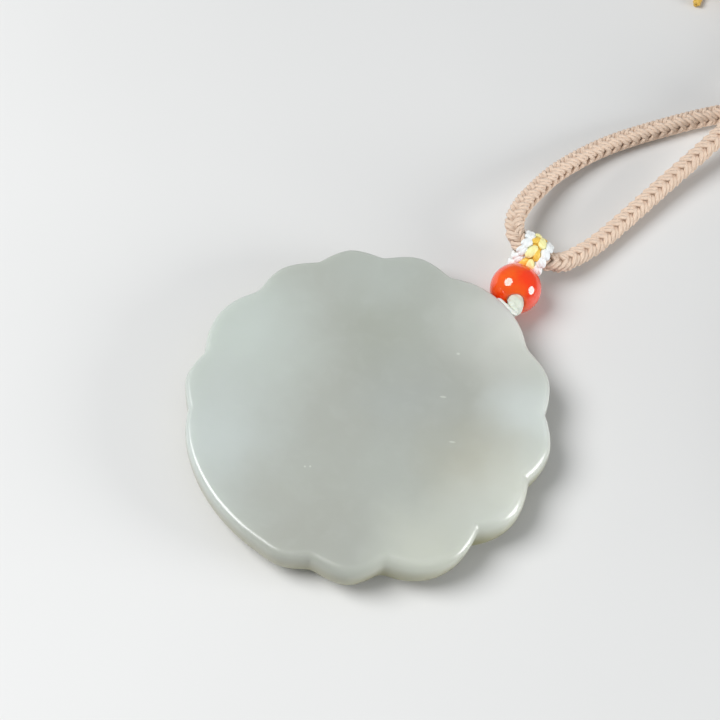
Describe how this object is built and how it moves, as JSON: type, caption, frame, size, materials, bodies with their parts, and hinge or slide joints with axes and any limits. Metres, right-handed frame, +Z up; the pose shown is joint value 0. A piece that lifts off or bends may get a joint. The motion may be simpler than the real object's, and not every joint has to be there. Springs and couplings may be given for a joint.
{
  "type": "jade pendant necklace",
  "caption": "Scalloped flat jade disc on a thread, with a round red bead and a woven bail on a closed loop of braided neck cord, lying flat.",
  "frame": {"origin": "on the surface that the part lies on, under the middle of the jade, in the middle of its flat resting land", "axes": "+Z up, out of the jade's flat polished face; +Y from the jade towards the bead and the bail"},
  "size_m": [0.1258, 0.1529, 0.0081],
  "materials": {
    "jade": "polished, translucent pale grey-green",
    "red_bead": "glossy orange-red",
    "pale_thread": "satin twisted thread",
    "woven_band": "woven, pale borders and a yellow middle",
    "braided_cord": "matte round braid, tan",
    "gold_thread": "wound metallic yellow thread"
  },
  "bodies": {
    "root": {"jade_pendant": "jade", "thread_loop": "pale_thread", "red_bead": "red_bead", "woven_bail": "woven_band", "neck_cord": "braided_cord", "end_sleeve": "gold_thread"}
  },
  "joints": []
}
